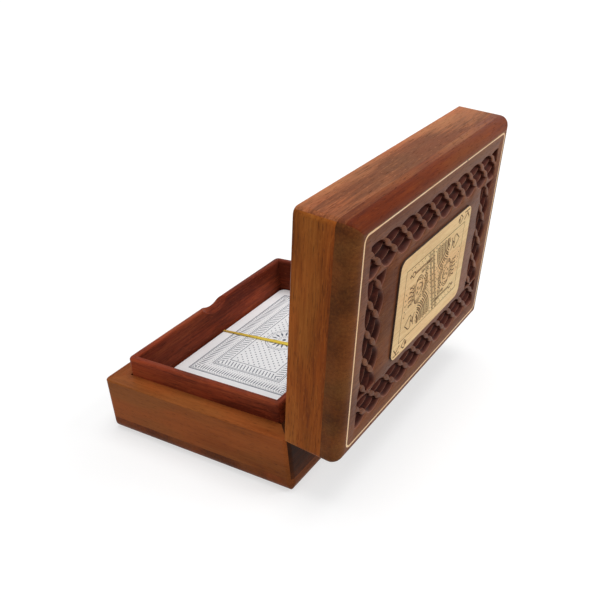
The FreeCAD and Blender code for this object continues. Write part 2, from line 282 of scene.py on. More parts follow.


# each side's tone on the base, its tone on the lid and the lid's gloss; the rear's darker tone is painted
# shade
sideTones = {"front": ("wall", "lidFront", 0.04), "rear": ("rear", "rear", 0.04),
             "left_end": ("baseEnd", "lidEnd", 0.06), "right_end": ("baseEnd", "lidEnd", 0.06)}
for k, (side, (baseTone, lidTone, lidGloss)) in enumerate(sideTones.items()):
    along = "Y" if side.endswith("end") else "X"
    baseShift, lidShift = place3(31 * k, 17 * k, 53 * k), place3(131 + 13 * k, 29 * k, 7)
    linerShift = place3(19 * k, 5, 23 * k)
    lidWood = woodMaterial("lidWood_" + side, lidTone, along, True, lidShift, gloss=lidGloss)
    paint("base_" + side + "_wall", woodMaterial("baseWood_" + side, baseTone, along, False, baseShift))
    paint("lid_" + side + "_wall", lidWood)
    paint("liner_" + side, woodMaterial("linerWood_" + side, "liner", along, False, linerShift))
paint("base_bottom_board", woodMaterial("bottomWood", "bottom", "X", False, place3(11, 90, 4)))
print("wood done")


brassLook = {"tone": linear(214, 176, 98), "dull": 0.62, "roughness": 0.34}


def brassMaterial():
    look = brassLook
    made, g, shader = newMaterial("hingeBrass", Metallic=0.9)
    place = g.add("ShaderNodeTexCoord").outputs["Object"]
    cloud = g.noise(place, 220.0, 3.0, 0.6)
    scratch = g.noise(g.stretch(place, (300, 3000, 3000)), 1.0, 1.0, 0.5)
    dull = shaded(look["tone"], look["dull"])
    g.feed(shader, "Base_Color", g.mix(g.span(cloud, 0.35, 0.7), look["tone"], dull))
    g.feed(shader, "Roughness", g.calc("MULTIPLY_ADD", cloud, 0.3, look["roughness"] - 0.1))
    g.bump(shader, 0.4, 0.00002, scratch)
    return made


hingeBrass = brassMaterial()
for name in nodes:
    if name.startswith("hinge"):
        paint(name, hingeBrass)


inlayLook = {
    # metres from the lid's middle, with the lid shut
    "light": linear(252, 212, 160), "shade": linear(240, 190, 134), "darkened": linear(112, 74, 52),
    "jointX": -0.0195, "jointHalf": 0.0005,      # butt joint in the front run
    "frontY": -0.0421, "frontFrom": -0.04,       # the front run's middle, and where it stops being front
    "paleHalf": 0.00028, "cornerGain": 0.0003,   # bare half-width, and its gain at both ends
    "gainFrom": 0.048, "gainTo": 0.056, "straightTo": 0.0562,
}


def inlayMaterial():
    # pale strip; on the front run it is darker along its two sides and in one butt joint
    look = inlayLook
    made, g, shader = newMaterial("inlayStrip", Specular_IOR_Level=0.4)
    place = grainPlace(g, "X", True, (0, 0, 0))
    cloud = g.noise(place, 70.0, 2.0, 0.5)
    tone = g.mix(g.span(cloud, 0.3, 0.7), look["light"], look["shade"])
    x, y, _ = g.add("ShaderNodeSeparateXYZ", None, Vector=place).outputs
    joint = g.calc("LESS_THAN", g.size(g.calc("ADD", x, -look["jointX"])), look["jointHalf"])
    front = g.calc("MULTIPLY", g.calc("LESS_THAN", y, look["frontFrom"]),
                   g.calc("LESS_THAN", g.size(x), look["straightTo"]))
    pale = g.calc("MULTIPLY_ADD", g.span(g.size(x), look["gainFrom"], look["gainTo"]), look["cornerGain"],
                  look["paleHalf"])
    beside = g.calc("GREATER_THAN", g.size(g.calc("ADD", y, -look["frontY"])), pale)
    darkened = g.calc("MULTIPLY", g.calc("MAXIMUM", joint, beside), front)
    g.feed(shader, "Base_Color", g.mix(darkened, tone, look["darkened"]))
    g.feed(shader, "Roughness", g.calc("MULTIPLY_ADD", cloud, 0.2, 0.3))
    return made


paint("lid_inlay_line", inlayMaterial())
print("brass done")


def ringArea(points):
    return sum(a[0] * b[1] - b[0] * a[1] for a, b in zip(points, points[1:] + points[:1])) / 2


def turnedLeft(points):
    return points if ringArea(points) > 0 else points[::-1]


def roundedRectangle(halfX, halfY, radius, steps=8, centre=(0, 0)):
    points = []
    for quarter, (sx, sy) in enumerate(((1, 1), (-1, 1), (-1, -1), (1, -1))):
        for step in range(steps + 1):
            angle = math.pi / 2 * (quarter + step / steps)
            points.append((centre[0] + sx * (halfX - radius) + radius * math.cos(angle),
                           centre[1] + sy * (halfY - radius) + radius * math.sin(angle)))
    return points


def flatRegions(outlines):
    # cuts the plane by all outlines; returns points and (face, set of outlines that cover it)
    points, faces = [], []
    for outline in outlines:
        faces.append(list(range(len(points), len(points) + len(outline))))
        points += [Vector(p) for p in turnedLeft(outline)]
    result = delaunay_2d_cdt(points, [], faces, 0, 1e-6, True)
    outPoints, outFaces, owners = result[0], result[2], result[5]
    return outPoints, [(list(face), frozenset(owner)) for face, owner in zip(outFaces, owners) if owner]


class Builder:
    # gathers points and faces of one mesh, in millimetres; lid pieces are drawn shut and turned at the end
    def __init__(self):
        self.points, self.faces, self.slots, self.smooth = [], [], [], []

    def add(self, points, faces, slot=0, smooth=False):
        start = len(self.points)
        self.points += [tuple(p) for p in points]
        for face in faces:
            self.faces.append([start + k for k in face])
            self.slots.append(slot)
            self.smooth.append(smooth)

    def loft(self, rings, slot=0, smooth=True):
        # skin over closed rings that have the same number of points
        count = len(rings[0])
        faces = []
        for row in range(len(rings) - 1):
            for k in range(count):
                a, b = row * count + k, row * count + (k + 1) % count
                faces.append([a, b, b + count, a + count])
        self.add([place for ring in rings for place in ring], faces, slot, smooth)

    def cap(self, ring, slot=0, smooth=False):
        self.add(ring, [list(range(len(ring)))], slot, smooth)

    def finish(self, name, materials, turned, sharp=35):
        mesh = bpy.data.meshes.new(name)
        mesh.from_pydata([Vector(p) * mm for p in self.points], [], self.faces)
        for polygon, slot, smooth in zip(mesh.polygons, self.slots, self.smooth):
            polygon.material_index = slot
            polygon.use_smooth = smooth
        for material in materials:
            mesh.materials.append(material)
        weldPoints(mesh)
        if turned:
            mesh.transform(openLid)
        mesh.set_sharp_from_angle(angle=math.radians(sharp))
        made = bpy.data.objects.new(name, mesh)
        bpy.context.scene.collection.objects.link(made)
        return made


def weldPoints(mesh):
    work = bmesh.new()
    work.from_mesh(mesh)
    bmesh.ops.remove_doubles(work, verts=work.verts, dist=1e-7)
    work.to_mesh(mesh)
    work.free()
    mesh.update()


carving = {
    "borderInset": 10.4, "borderRoom": 0.4,            # border to the board's edge, end run to long run
    "cellPitch": 11.35, "cellRow": 4.4, "cellSlant": 5.3,
    "firstBarLong": 2.5, "firstBarEnd": 4.0,           # how far before its run the first bar stands
    "padHalfWidth": 1.3, "neckHalfWidth": 0.34, "handWobble": 0.16,
    "outerArch": 1.2, "archLean": 0.5, "innerPoint": 3.0, "pointLean": 0.3,
    "cellDepth": 2.4, "toeReach": 3.4, "rim": 0.1,
    "wallSteps": ((0.0, 0.82), (0.1, 0.93), (0.25, 0.985), (0.5, 1.0)),   # how far in, share of the depth
    "floorSteps": (0.75, 0.5, 0.25, 0.04),             # rings of the floor, 1 at the wall and 0 in the middle
    "ridgeCrest": 0.55, "ridgeEnd": 1.05, "crestWidth": 0.26, "crestRise": 0.03,
    "barSteps": 8, "ridgeSteps": 8, "archSteps": 10, "pointSteps": 12,
    "inlayInset": 5.4, "inlayHalf": 0.43, "inlayDepth": 1.0, "inlayCorner": 2.6,
    "plaqueCorner": 3.7, "plaqueGap": 0.1,
    "topRound": 4.5, "cornerRound": 2.6, "cornerTop": 0.3, "roundSteps": 8,
}


def quadCurve(first, middle, last, steps):
    # smooth curve from first to last that passes middle half-way
    control = [2 * middle[k] - (first[k] + last[k]) / 2 for k in (0, 1)]
    points = []
    for step in range(steps):
        t = step / steps
        points.append(tuple((1 - t) ** 2 * first[k] + 2 * t * (1 - t) * control[k] + t * t * last[k]
                            for k in (0, 1)))
    return points


def bentLine(first, middle, last, steps):
    # two straight cuts from first to last that meet in a short bend at middle
    def between(a, b, share):
        return tuple(a[k] + (b[k] - a[k]) * share for k in (0, 1))

    bendFrom, bendTo = 0.3, 0.7  # shares of the line
    bendStart, bendEnd = between(first, middle, 2 * bendFrom), between(middle, last, 2 * bendTo - 1)
    points = []
    for step in range(steps):
        t = step / steps
        if t < bendFrom:
            points.append(between(first, middle, 2 * t))
        elif t > bendTo:
            points.append(between(middle, last, 2 * t - 1))
        else:
            share = (t - bendFrom) / (bendTo - bendFrom)
            points.append(between(between(bendStart, middle, share), between(middle, bendEnd, share), share))
    return points


def carvedColumns(runLength, firstBar):
    # one entry per column of a run along +X: the hole at face level, its three cells and their ridges
    c = carving
    span = math.hypot(c["cellSlant"], c["cellRow"])
    hand = random.Random(11)
    drift = {}

    def barPoint(bar, rows, side):
        half = c["padHalfWidth"] if rows % 1 else c["neckHalfWidth"]
        most = c["handWobble"] if rows % 1 else 0
        dx, dy = drift.setdefault((bar, rows, side), (hand.uniform(-most, most), hand.uniform(-most, most)))
        x = bar * c["cellPitch"] - firstBar + c["cellSlant"] * rows + side * half * c["cellRow"] / span
        y = c["outerArch"] + c["cellRow"] * rows - side * half * c["cellSlant"] / span
        return (x + dx, y + dy)

    def walls(points):
        return [(x, y, c["rim"]) for x, y in points]

    def ridge(neck, far):
        # nearest to the face half-way between two bars, lower beside them
        drop, steps = c["ridgeEnd"] - c["ridgeCrest"], c["ridgeSteps"]
        return [(neck[0] + (far[0] - neck[0]) * k / steps, neck[1] + (far[1] - neck[1]) * k / steps,
                 c["ridgeCrest"] + drop * (2 * k / steps - 1) ** 2) for k in range(steps + 1)]

    def clipped(points, limit, keepLess):
        kept = []
        for a, b in zip(points, points[1:] + points[:1]):
            inA, inB = (a[0] < limit) == keepLess, (b[0] < limit) == keepLess
            if inA:
                kept.append(a)
            if inA != inB:
                share = (limit - a[0]) / (b[0] - a[0])
                y, sunk = a[1] + (b[1] - a[1]) * share, a[2] + (b[2] - a[2]) * share
                crossing = [(limit, y, c["rim"])]
                if sunk > c["rim"] + 0.01:
                    crossing.insert(0, (limit, y, sunk))
                kept += crossing if inA else crossing[::-1]
        return kept

    def fitted(points):
        return clipped(clipped(points, runLength, True), 0.0, False)

    columns = []
    for bar in range(-3, int(runLength / c["cellPitch"]) + 2):
        near = [barPoint(bar, k / 2, 1) for k in range(5)]
        far = [barPoint(bar + 1, k / 2, -1) for k in range(5)]
        crown = ((near[0][0] + far[0][0]) / 2 + c["archLean"],
                 (near[0][1] + far[0][1]) / 2 - c["outerArch"])
        foot = ((near[4][0] + far[4][0]) / 2 - c["pointLean"],
                (near[4][1] + far[4][1]) / 2 + c["innerPoint"])
        arch = quadCurve(near[0], crown, far[0], c["archSteps"])
        toe = quadCurve(far[4], foot, near[4], c["pointSteps"])
        upper, lower = (bentLine(*far[k:k + 3], c["barSteps"]) for k in (0, 2))
        backUpper, backLower = (bentLine(*near[k:k + 3][::-1], c["barSteps"]) for k in (0, 2))
        hole = fitted(walls(arch + upper + lower + toe + backLower + backUpper))
        if len(hole) < 3 or abs(ringArea(hole)) < 1.5:
            continue
        meet = 2  # step of the far bar at which a ridge meets it
        first, second = ridge(near[2], upper[meet]), ridge(near[4], lower[meet])
        middle = walls(upper[meet:] + lower[:meet])
        cells = [(walls(arch + upper[:meet]) + first[::-1][:-1] + walls(backUpper), first),
                 (first[:-1] + middle + second[::-1][:-1] + walls(backLower), second),
                 (second[:-1] + walls(lower[meet:] + toe), walls(toe + [near[4]]))]
        crests = [line for line in (first, second) if all(0 < point[0] < runLength for point in line)]
        columns.append(([(x, y) for x, y, _ in hole],
                        [(fitted(points), foot) for points, foot in cells], crests))
    return columns


def grown(points, amount):
    # outline moved outwards by amount
    made = []
    sign = 1 if ringArea(points) > 0 else -1
    for before, here, after in zip(points[-1:] + points[:-1], points, points[1:] + points[:1]):
        dx, dy = 0.0, 0.0
        for a, b in ((before, here), (here, after)):
            size = math.hypot(b[0] - a[0], b[1] - a[1]) or 1.0
            dx += (b[1] - a[1]) / size
            dy -= (b[0] - a[0]) / size
        size = math.hypot(dx, dy) or 1.0
        made.append((here[0] + sign * amount * dx / size, here[1] + sign * amount * dy / size))
    return made


def runPlaces(halfX, halfY):
    # the four runs of the border: columns, and how run coordinates land on the closed lid
    c = carving
    runWidth = c["outerArch"] + 2 * c["cellRow"] + c["innerPoint"]
    inset = c["borderInset"]
    endLength = 2 * halfY - 2 * (inset + runWidth + c["borderRoom"])
    longRun = carvedColumns(2 * (halfX - inset), c["firstBarLong"])
    endRun = carvedColumns(endLength, c["firstBarEnd"])
    for start in (-halfY + inset, halfY - inset - runWidth):
        yield longRun, lambda x, y, start=start: (halfX - inset - x, start + y)
    for start in (halfX - inset, -halfX + inset + runWidth):
        yield endRun, lambda x, y, start=start: (start - y, x - endLength / 2)


def cellFloor(build, points, foot, land, top):
    # a gouged scoop: it rises to its foot line and ends in steep walls elsewhere
    c = carving
    middle = (sum(p[0] for p in points) / len(points), sum(p[1] for p in points) / len(points))
    onRidge = len(foot) == c["ridgeSteps"] + 1
    reachFull = c["cellRow"] if onRidge else c["toeReach"]

    def depth(x, y):
        best, start = 1e9, 0.0
        for (ax, ay, aSunk), (bx, by, bSunk) in zip(foot, foot[1:]):
            size = (bx - ax) ** 2 + (by - ay) ** 2
            t = min(max(((x - ax) * (bx - ax) + (y - ay) * (by - ay)) / size, 0.0), 1.0)
            away = math.hypot(ax + (bx - ax) * t - x, ay + (by - ay) * t - y)
            if away < best:
                best, start = away, aSunk + (bSunk - aSunk) * t
        rise = 1 - (1 - min(best / reachFull, 1.0)) ** 2
        return start + (c["cellDepth"] - start) * rise

    rings = [[(x, y, -sunk) for x, y, sunk in points]]
    for inward, part in c["wallSteps"]:
        ring = []
        for x, y, edge in points:
            away = math.hypot(middle[0] - x, middle[1] - y) or 1.0
            share = min(inward / away, 0.45)  # narrow cells keep a floor
            px, py = x + (middle[0] - x) * share, y + (middle[1] - y) * share
            ring.append((px, py, -(edge + (max(depth(px, py), edge) - edge) * part)))
        rings.append(ring)
    last = rings[-1]
    for share in c["floorSteps"]:
        ring = [[centre + (at - centre) * share for at, centre in zip(place, middle)] for place in last]
        rings.append([(x, y, -depth(x, y)) for x, y in ring])
    placed = [[(*land(x, y), top + z) for x, y, z in ring] for ring in rings]
    build.loft(placed, slot=1)
    build.cap(placed[-1], 1, True)


def crestEdge(build, line, land, top):
    # the narrow crest along a ridge, in a paler tone: painted highlight
    half, rise = carving["crestWidth"] / 2, carving["crestRise"]
    (ax, ay, _), (bx, by, _) = line[0], line[-1]
    size = math.hypot(bx - ax, by - ay)
    sideX, sideY = -(by - ay) / size * half, (bx - ax) / size * half
    rings = []
    for x, y, sunk in line:
        low = top - sunk - half
        rings.append([(*land(x + sideX, y + sideY), low), (*land(x, y), top - sunk + rise),
                      (*land(x - sideX, y - sideY), low)])
    build.loft(rings, slot=5, smooth=False)
    for ring in (rings[0], rings[-1]):
        build.cap(ring, 5)


def carvedBoard():
    c = carving
    low, high = (corner / mm for corner in closedBox("lid_top_board"))
    halfX, halfY, top = high.x, high.y, high.z
    plaque = closedBox("lid_plaque")[1] / mm
    build = Builder()

    rings = []
    for step in range(c["roundSteps"] + 1):
        angle = math.pi / 2 * step / c["roundSteps"]
        inset = c["topRound"] * (1 - math.sin(angle))
        corner = c["cornerTop"] + (c["cornerRound"] - c["cornerTop"]) * math.sin(angle) ** 1.5
        rings.append([(x, y, top - c["topRound"] * (1 - math.cos(angle)))
                      for x, y in roundedRectangle(halfX - inset, halfY - inset, corner, 4)])
    rings.append([(x, y, low.z) for x, y, _ in rings[-1]])
    build.loft(rings, slot=2)
    build.cap(rings[-1], 2)
    for k, face in enumerate(build.faces):
        # end grain shows on the two short sides
        middle = [sum(build.points[p][axis] for p in face) / len(face) for axis in (0, 1)]
        if halfX - abs(middle[0]) < halfY - abs(middle[1]):
            build.slots[k] = 3
        # the rounding gets its own darker tone: painted shade
        elif k < c["roundSteps"] * len(rings[0]):
            build.slots[k] = 4

    grooveX, grooveY = halfX - c["inlayInset"], halfY - c["inlayInset"]
    outlines = [[(x, y) for x, y, _ in rings[0]]]
    for side in (1, -1):
        grow = side * c["inlayHalf"]
        outlines.append(roundedRectangle(grooveX + grow, grooveY + grow, c["inlayCorner"] + grow))
    outlines.append(roundedRectangle(plaque.x + c["plaqueGap"], plaque.y + c["plaqueGap"], c["plaqueCorner"]))
    floor = top - c["inlayDepth"]
    for outline in outlines[1:]:
        build.loft([[(x, y, top) for x, y in outline], [(x, y, floor) for x, y in outline]], slot=1)
    build.cap([(x, y, floor) for x, y in outlines[-1]], 1)

    for columns, land in runPlaces(halfX, halfY):
        for hole, cells, crests in columns:
            outline = turnedLeft([land(x, y) for x, y in hole])
            outlines.append(grown(outline, c["rim"]))
            build.loft([[(x, y, top + z) for x, y in grown(outline, c["rim"] * share)]
                        for share, z in ((1.0, 0.0), (0.3, -c["rim"] * 0.3), (0.0, -c["rim"]))], slot=0)
            for points, foot in cells:
                if len(points) > 2 and abs(ringArea(points)) > 0.02:
                    cellFloor(build, points, foot, land, top)
            for line in crests:
                crestEdge(build, line, land, top)

    points, faces = flatRegions(outlines)
    flat = [face for face, owners in faces
            if 0 in owners and (1 in owners) == (2 in owners) and not any(owner > 2 for owner in owners)]
    build.add([(p.x, p.y, top) for p in points], flat, slot=0)

    # slots: 0 face, 1 recess, 2 long sides, 3 ends, 4 rounding with painted shade, 5 ridge edges with painted
    # highlight
    shift = place3(7, 13, 3)
    materials = [woodMaterial("boardFace", "board", "X", True, shift, bands=0.6, gloss=0.03, roughness=0.34),
                 recessMaterial(top)]
    # the rounding's tone is darker: painted shade
    for name in ("boardSide", "boardEnd", "boardRoundShade"):
        materials.append(woodMaterial(name, name, "X", True, shift))
    # ridge crests in a paler tone: painted highlight
    materials.append(woodMaterial("ridgeHighlight", "ridge", "X", True, shift, bands=0.6, gloss=0.03))
    return build.finish("carved_top_board", materials, True, 50)


recessLook = {
    "light": linear(102, 50, 39), "mid": linear(78, 33, 26), "dark": linear(50, 19, 15),
    "pore": linear(34, 15, 11), "bands": 0.5, "roughness": 0.38,
    "deep": 2.3, "shallow": 0.15,                       # depths under the face that the tones run between
    # painted shade: the dark tone mixed in towards the bottom of each cell
    "paintedShade": linear(34, 14, 10), "paintedShadeMost": 0.6, "paintedShadeTo": 0.6,
    # painted highlight: the pale tone mixed in near the face, on ridges and rims
    "worn": linear(146, 96, 78), "wornPower": 5.0,
}


def recessMaterial(top):
    # painted shade: darker towards the bottom of each cell; painted highlight: paler near the face, on the
    # ridges
    look = recessLook
    made, g, shader = newMaterial("carvedRecess", Specular_IOR_Level=0.04)
    place = grainPlace(g, "X", True, (0, 0, 0))
    height = g.add("ShaderNodeSeparateXYZ", None, Vector=place).outputs[2]
    level = g.span(height, (top - look["deep"]) * mm, (top - look["shallow"]) * mm)
    grain = grainOn(g, place, look, look["pore"], look["bands"])
    # painted shade, darker the deeper in the cell
    paintedShade = g.span(level, 0.0, look["paintedShadeTo"], look["paintedShadeMost"], 0.0)
    withShade = g.mix(paintedShade, grain["Color"], look["paintedShade"])
    # painted highlight, paler near the face
    g.feed(shader, "Base_Color", g.mix(g.calc("POWER", level, look["wornPower"]), withShade, look["worn"]))
    g.feed(shader, "Roughness", g.calc("ADD", grain["Roughness"], look["roughness"]))
    chatter = g.noise(g.stretch(place, (900, 900, 900)), 1.0, 1.0, 0.5)
    g.bump(shader, 0.5, 0.00008, chatter)
    return made


board = carvedBoard()
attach(board, "lid")
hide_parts("lid_top_board")
print("carved board", len(board.data.polygons))


def stroke(points, width):
    # a mark is an outline and the hole in it, if it has one
    left, right = [], []
    for k, here in enumerate(points):
        a, b = points[max(k - 1, 0)], points[min(k + 1, len(points) - 1)]
        size = math.hypot(b[0] - a[0], b[1] - a[1]) or 1.0
        nx, ny = -(b[1] - a[1]) / size * width / 2, (b[0] - a[0]) / size * width / 2
        left.append((here[0] + nx, here[1] + ny))
        right.append((here[0] - nx, here[1] - ny))
    return (left + right[::-1], None)


def arc(centre, radius, start, end, steps=10, squash=1.0):
    return [(centre[0] + radius * math.cos(math.radians(start + (end - start) * k / steps)),
             centre[1] + radius * squash * math.sin(math.radians(start + (end - start) * k / steps)))
            for k in range(steps + 1)]


def dot(centre, radius, sides=6):
    return (arc(centre, radius, 0, 360 - 360 / sides, sides - 1), None)


def hoop(centre, radius, width, sides=12):
    outer, inner = (dot(centre, radius + grow, sides)[0] for grow in (width / 2, -width / 2))
    return (outer, inner)


def diamond(x, y, halfX, halfY):
    return ([(x - halfX, y), (x, y - halfY), (x + halfX, y), (x, y + halfY)], None)


def petal(x, y, nx, ny, near, wide, far, half):
    # leaf from near to far along the direction nx, ny, widest at wide
    wx, wy = -ny * half, nx * half
    return ([(x + nx * near, y + ny * near), (x + nx * wide + wx, y + ny * wide + wy),
             (x + nx * far, y + ny * far), (x + nx * wide - wx, y + ny * wide - wy)], None)


def frameLine(halfX, halfY, width, radius=0.05):
    outer, inner = (roundedRectangle(halfX + grow, halfY + grow, radius, 2)
                    for grow in (width / 2, -width / 2))
    return (outer, inner)


def markedFace(build, outline, marks, top, sink, slots):
    # flat face with marks in the second slot's material, sunk with their own side walls if sink is given
    outlines, pairs = [outline], []
    for outer, inner in marks:
        pairs.append((len(outlines), len(outlines) + 1 if inner else None))
        outlines += [outer, inner] if inner else [outer]
    points, faces = flatRegions(outlines)
    plain, marked, level = [], [], {}
    for face, owners in faces:
        if 0 not in owners:
            continue
        cut = any(outer in owners and (inner is None or inner not in owners) for outer, inner in pairs)
        (marked if cut else plain).append(face)
        for a, b in zip(face, face[1:] + face[:1]):
            level.setdefault((min(a, b), max(a, b)), []).append(cut)
    build.add([(p.x, p.y, top) for p in points], plain, slots[0])
    build.add([(p.x, p.y, top - sink) for p in points], marked, slots[1])
    if sink:
        edges = [edge for edge, sides in level.items() if len(sides) == 2 and sides[0] != sides[1]]
        for a, b in edges:
            (ax, ay), (bx, by) = points[a], points[b]
            build.cap([(ax, ay, top), (bx, by, top), (bx, by, top - sink), (ax, ay, top - sink)], slots[1])


plaqueLook = {
    "corner": 3.6, "bevelIn": 0.15, "bevelDown": 0.12, "sink": 0.15, "line": 0.46, "fineLine": 0.36,
    "frameLong": 25.4, "frameAcross": 15.0, "frameWidth": 0.28,
    "headX": 2.4, "collarY": 10.4, "bandSlope": 0.347, "sceptreX": 11.28,
    "rightFolds": ((15.0, 14.6), 5.4), "leftFolds": ((-13.5, 15.4), 3.6),   # centre, first radius
    "foldPitch": 0.92,
    "pip": ((-9.6, 18.4), 6.6), "letter": ((-17.9, 26.6), 4.3), "smallPip": ((-17.9, 20.6), 4.0),
    "light": linear(255, 230, 178), "mid": linear(248, 214, 160), "dark": linear(234, 192, 138),
    "pore": linear(200, 158, 104), "bands": 0.35, "roughness": 0.55,
    "engraved": linear(118, 82, 46), "burnt": linear(62, 34, 18), "char": 0.6,
}


def spade(centre, size, width):
    # outline of a card pip, point upwards
    x, y = centre
    h = size / 2
    half = [(0, h), (0.18 * size, 0.28 * size), (0.42 * size, 0.02 * size), (0.44 * size, -0.16 * size),
            (0.30 * size, -0.27 * size), (0.10 * size, -0.20 * size)]
    body = [(x + a, y + b) for a, b in half] + [(x - a, y + b) for a, b in half[::-1]]
    stem = [(x, y - 0.18 * size), (x + 0.05 * size, y - 0.38 * size), (x + 0.2 * size, y - h)]
    other = [(2 * x - a, b) for a, b in stem]
    return [stroke(body, width), stroke(stem, width), stroke(other, width),
            stroke([stem[-1], other[-1]], width)]


def letterK(centre, height, width):
    x, y = centre
    h, w = height / 2, height * 0.34
    bars = [[(x - w, y - h), (x - w, y + h)], [(x - w, y - 0.1 * h), (x + w, y + h)],
            [(x - 0.3 * w, y + 0.25 * h), (x + w, y - h)]]
    for cx, cy in ((x - w, y - h), (x - w, y + h), (x + w, y + h), (x + w, y - h)):
        bars.append([(cx - 0.32, cy), (cx + 0.32, cy)])
    return [stroke(bar, width) for bar in bars]


def broken(points, keep, width):
    # strokes along the stretches of a line that lie where keep allows
    pieces, current = [], []
    for place in points + [None]:
        if place and keep(*place):
            current.append(place)
            continue
        if len(current) > 2:
            pieces.append(stroke(current, width))
        current = []
    return pieces


def kingHalf():
    # upright half of a plain double-ended king, x across and y up the card
    look = plaqueLook
    line, fine, headX, collarY = look["line"], look["fineLine"], look["headX"], look["collarY"]
    marks = []

    def draw(points, width=fine):
        marks.append(stroke(points, width))

    def spot(x, y, radius):
        marks.append(dot((x, y), radius))

    # crown
    for y in (15.9, 17.1):
        draw([(headX + 1.2 * k, y + 0.03 * (1.2 * k) ** 2) for k in range(-3, 4)], line)
    for x in (-3.2, -1.6, 0.0, 1.6, 3.2):
        foot = 17.2 + 0.03 * x * x
        peak = 20.0 + 0.6 * (x == 0)
        for side in (-0.75, 0.75):
            draw([(headX + x + side, foot), (headX + x * 1.15, peak)])
        marks.append(hoop((headX + x * 1.18, peak + 0.55), 0.38, fine, 8))
    for x in (-2.7, -0.9, 0.9, 2.7):
        spot(headX + x, 16.55 + 0.02 * x * x, 0.24)
    # face
    draw(arc((headX, 13.0), 2.5, 178, 362, 12, 1.25))
    for side in (-1, 1):
        draw(arc((headX + side * 1.0, 13.55), 0.5, 160, 20, 5, 0.7))
        spot(headX + side * 1.0, 13.6, 0.17)
        draw(arc((headX + side * 1.05, 14.1), 0.75, 150, 30, 4, 0.5))
        for row in range(3):
            draw(arc((headX + side * (2.9 + 0.55 * row), 13.9 - 0.35 * row), 1.5 + 0.15 * row,
                     90 + side * 10, 90 - side * 150, 9, 1.35))
        marks.append(hoop((headX + side * 3.9, 10.6), 0.6, fine, 8))
    draw([(headX, 13.5), (headX + 0.12, 12.7), (headX + 0.3, 12.35), (headX - 0.1, 12.2)])
    draw(arc((headX, 11.9), 0.7, 200, 340, 5, 0.35))
    for k in range(-3, 4):
        draw([(headX + 0.62 * k, 11.0 - 0.06 * k * k), (headX + 0.78 * k, 9.2 + 0.1 * k * k)])
    # collar with spots
    for radius in (3.4, 4.6, 5.7):
        draw(arc((headX, collarY), radius, 202, 338, 14, 0.8), line)
    for angle in range(214, 340, 18):
        for radius, turn in ((4.0, angle), (5.15, angle + 9)):
            spot(*arc((headX, collarY), radius, turn, turn, 1, 0.8)[0], 0.2)
    # robe: nested folds either side of the collar, above the band
    slope, pitch = look["bandSlope"], look["foldPitch"]

    def onRobe(x, y):
        collar = math.hypot(x - headX, (y - collarY) / 0.8)
        return slope * x + 3.1 < y < 12.6 and collar > 6.2 and -14.3 < x < 10.3

    (rightAt, rightFirst), (leftAt, leftFirst) = look["rightFolds"], look["leftFolds"]
    for k in range(13):
        for centre, first, last in ((rightAt, rightFirst, 180), (leftAt, leftFirst, 370)):
            marks += broken(arc(centre, first + pitch * k, 270, last, 40), onRobe, fine if k % 3 else line)
    for centre, inner, first, last in ((rightAt, rightFirst, 178, 272), (leftAt, leftFirst, 268, 372)):
        for row in range(5):
            start = inner + pitch * (1 + 3 * row)
            for angle in range(first, last, 5):
                spoke = [arc(centre, radius, angle, angle, 1)[0] for radius in (start, start + pitch)]
                if all(onRobe(*place) for place in spoke):
                    draw(spoke)
    for k in range(12):
        spot(12.4 + 1.6 * (k % 2), 6.4 + 1.35 * k, 0.3 if k % 2 else 0.2)
    # sceptre
    rodX = look["sceptreX"]
    for x in (11.0, 11.55):
        draw([(x, 3.4), (x, 17.8)])
    marks.append(hoop((rodX, 19.0), 1.1, line, 12))
    draw([(rodX, 20.2), (rodX, 22.3)], line)
    draw([(rodX - 0.88, 21.4), (rodX + 0.88, 21.4)], line)
    for k in range(4):
        draw(arc((11.3, 6.2 + 0.75 * k), 0.95, 200, 340, 4, 0.45))
    # large pip and jewels
    marks += spade(*look["pip"], line)
    draw(arc((look["pip"][0][0], 13.3), 3.2, 30, 150, 8, 0.5))
    for k in range(5):
        spot(-4.8 + 2.4 * k, 23.6, 0.36)
        spot(-3.6 + 1.9 * k, 22.4, 0.2)
    # band across the middle
    for shift in (0.9, 1.7):
        draw([(x, x * slope + shift) for x in (-14.9, 14.9)])
    for k in range(9):
        x = -13.2 + 3.3 * k
        marks.append(diamond(x, x * slope, 0.55, 0.5))
    for k in range(15):
        x = -13.6 + 1.9 * k
        draw([(x, x * slope + 1.75), (x + 0.35, x * slope + 2.6)])
    # corner index
    marks += letterK(*look["letter"], line) + spade(*look["smallPip"], line)
    return marks


def turnedCard(marks, turn):
    # card x across and y up, laid with its top towards -X of the lid
    def move(points):
        return points and [(-turn * y, turn * x) for x, y in points]
    return [(move(outer), move(inner)) for outer, inner in marks]


def plaqueMaterials():
    look = plaqueLook
    maple, g, shader = newMaterial("mapleFace", Specular_IOR_Level=0.2)
    grain = grainOn(g, grainPlace(g, "X", True, place3(3, 8, 5)), look, look["pore"], look["bands"])
    g.feed(shader, "Base_Color", grain["Color"])
    g.feed(shader, "Roughness", g.calc("ADD", grain["Roughness"], look["roughness"]))
    materials = [maple]
    for name, tone in (("mapleEngraved", look["engraved"]), ("mapleBurnt", look["burnt"])):
        made, g, shader = newMaterial(name)
        char = g.noise(grainPlace(g, "X", True, (0, 0, 0)), 2600.0, 2.0, 0.6)
        g.feed(shader, "Base_Color", g.mix(g.span(char, 0.3, 0.75), tone, shaded(tone, look["char"])))
        g.feed(shader, "Roughness", g.calc("MULTIPLY_ADD", char, 0.2, 0.7))
        materials.append(made)
    return materials


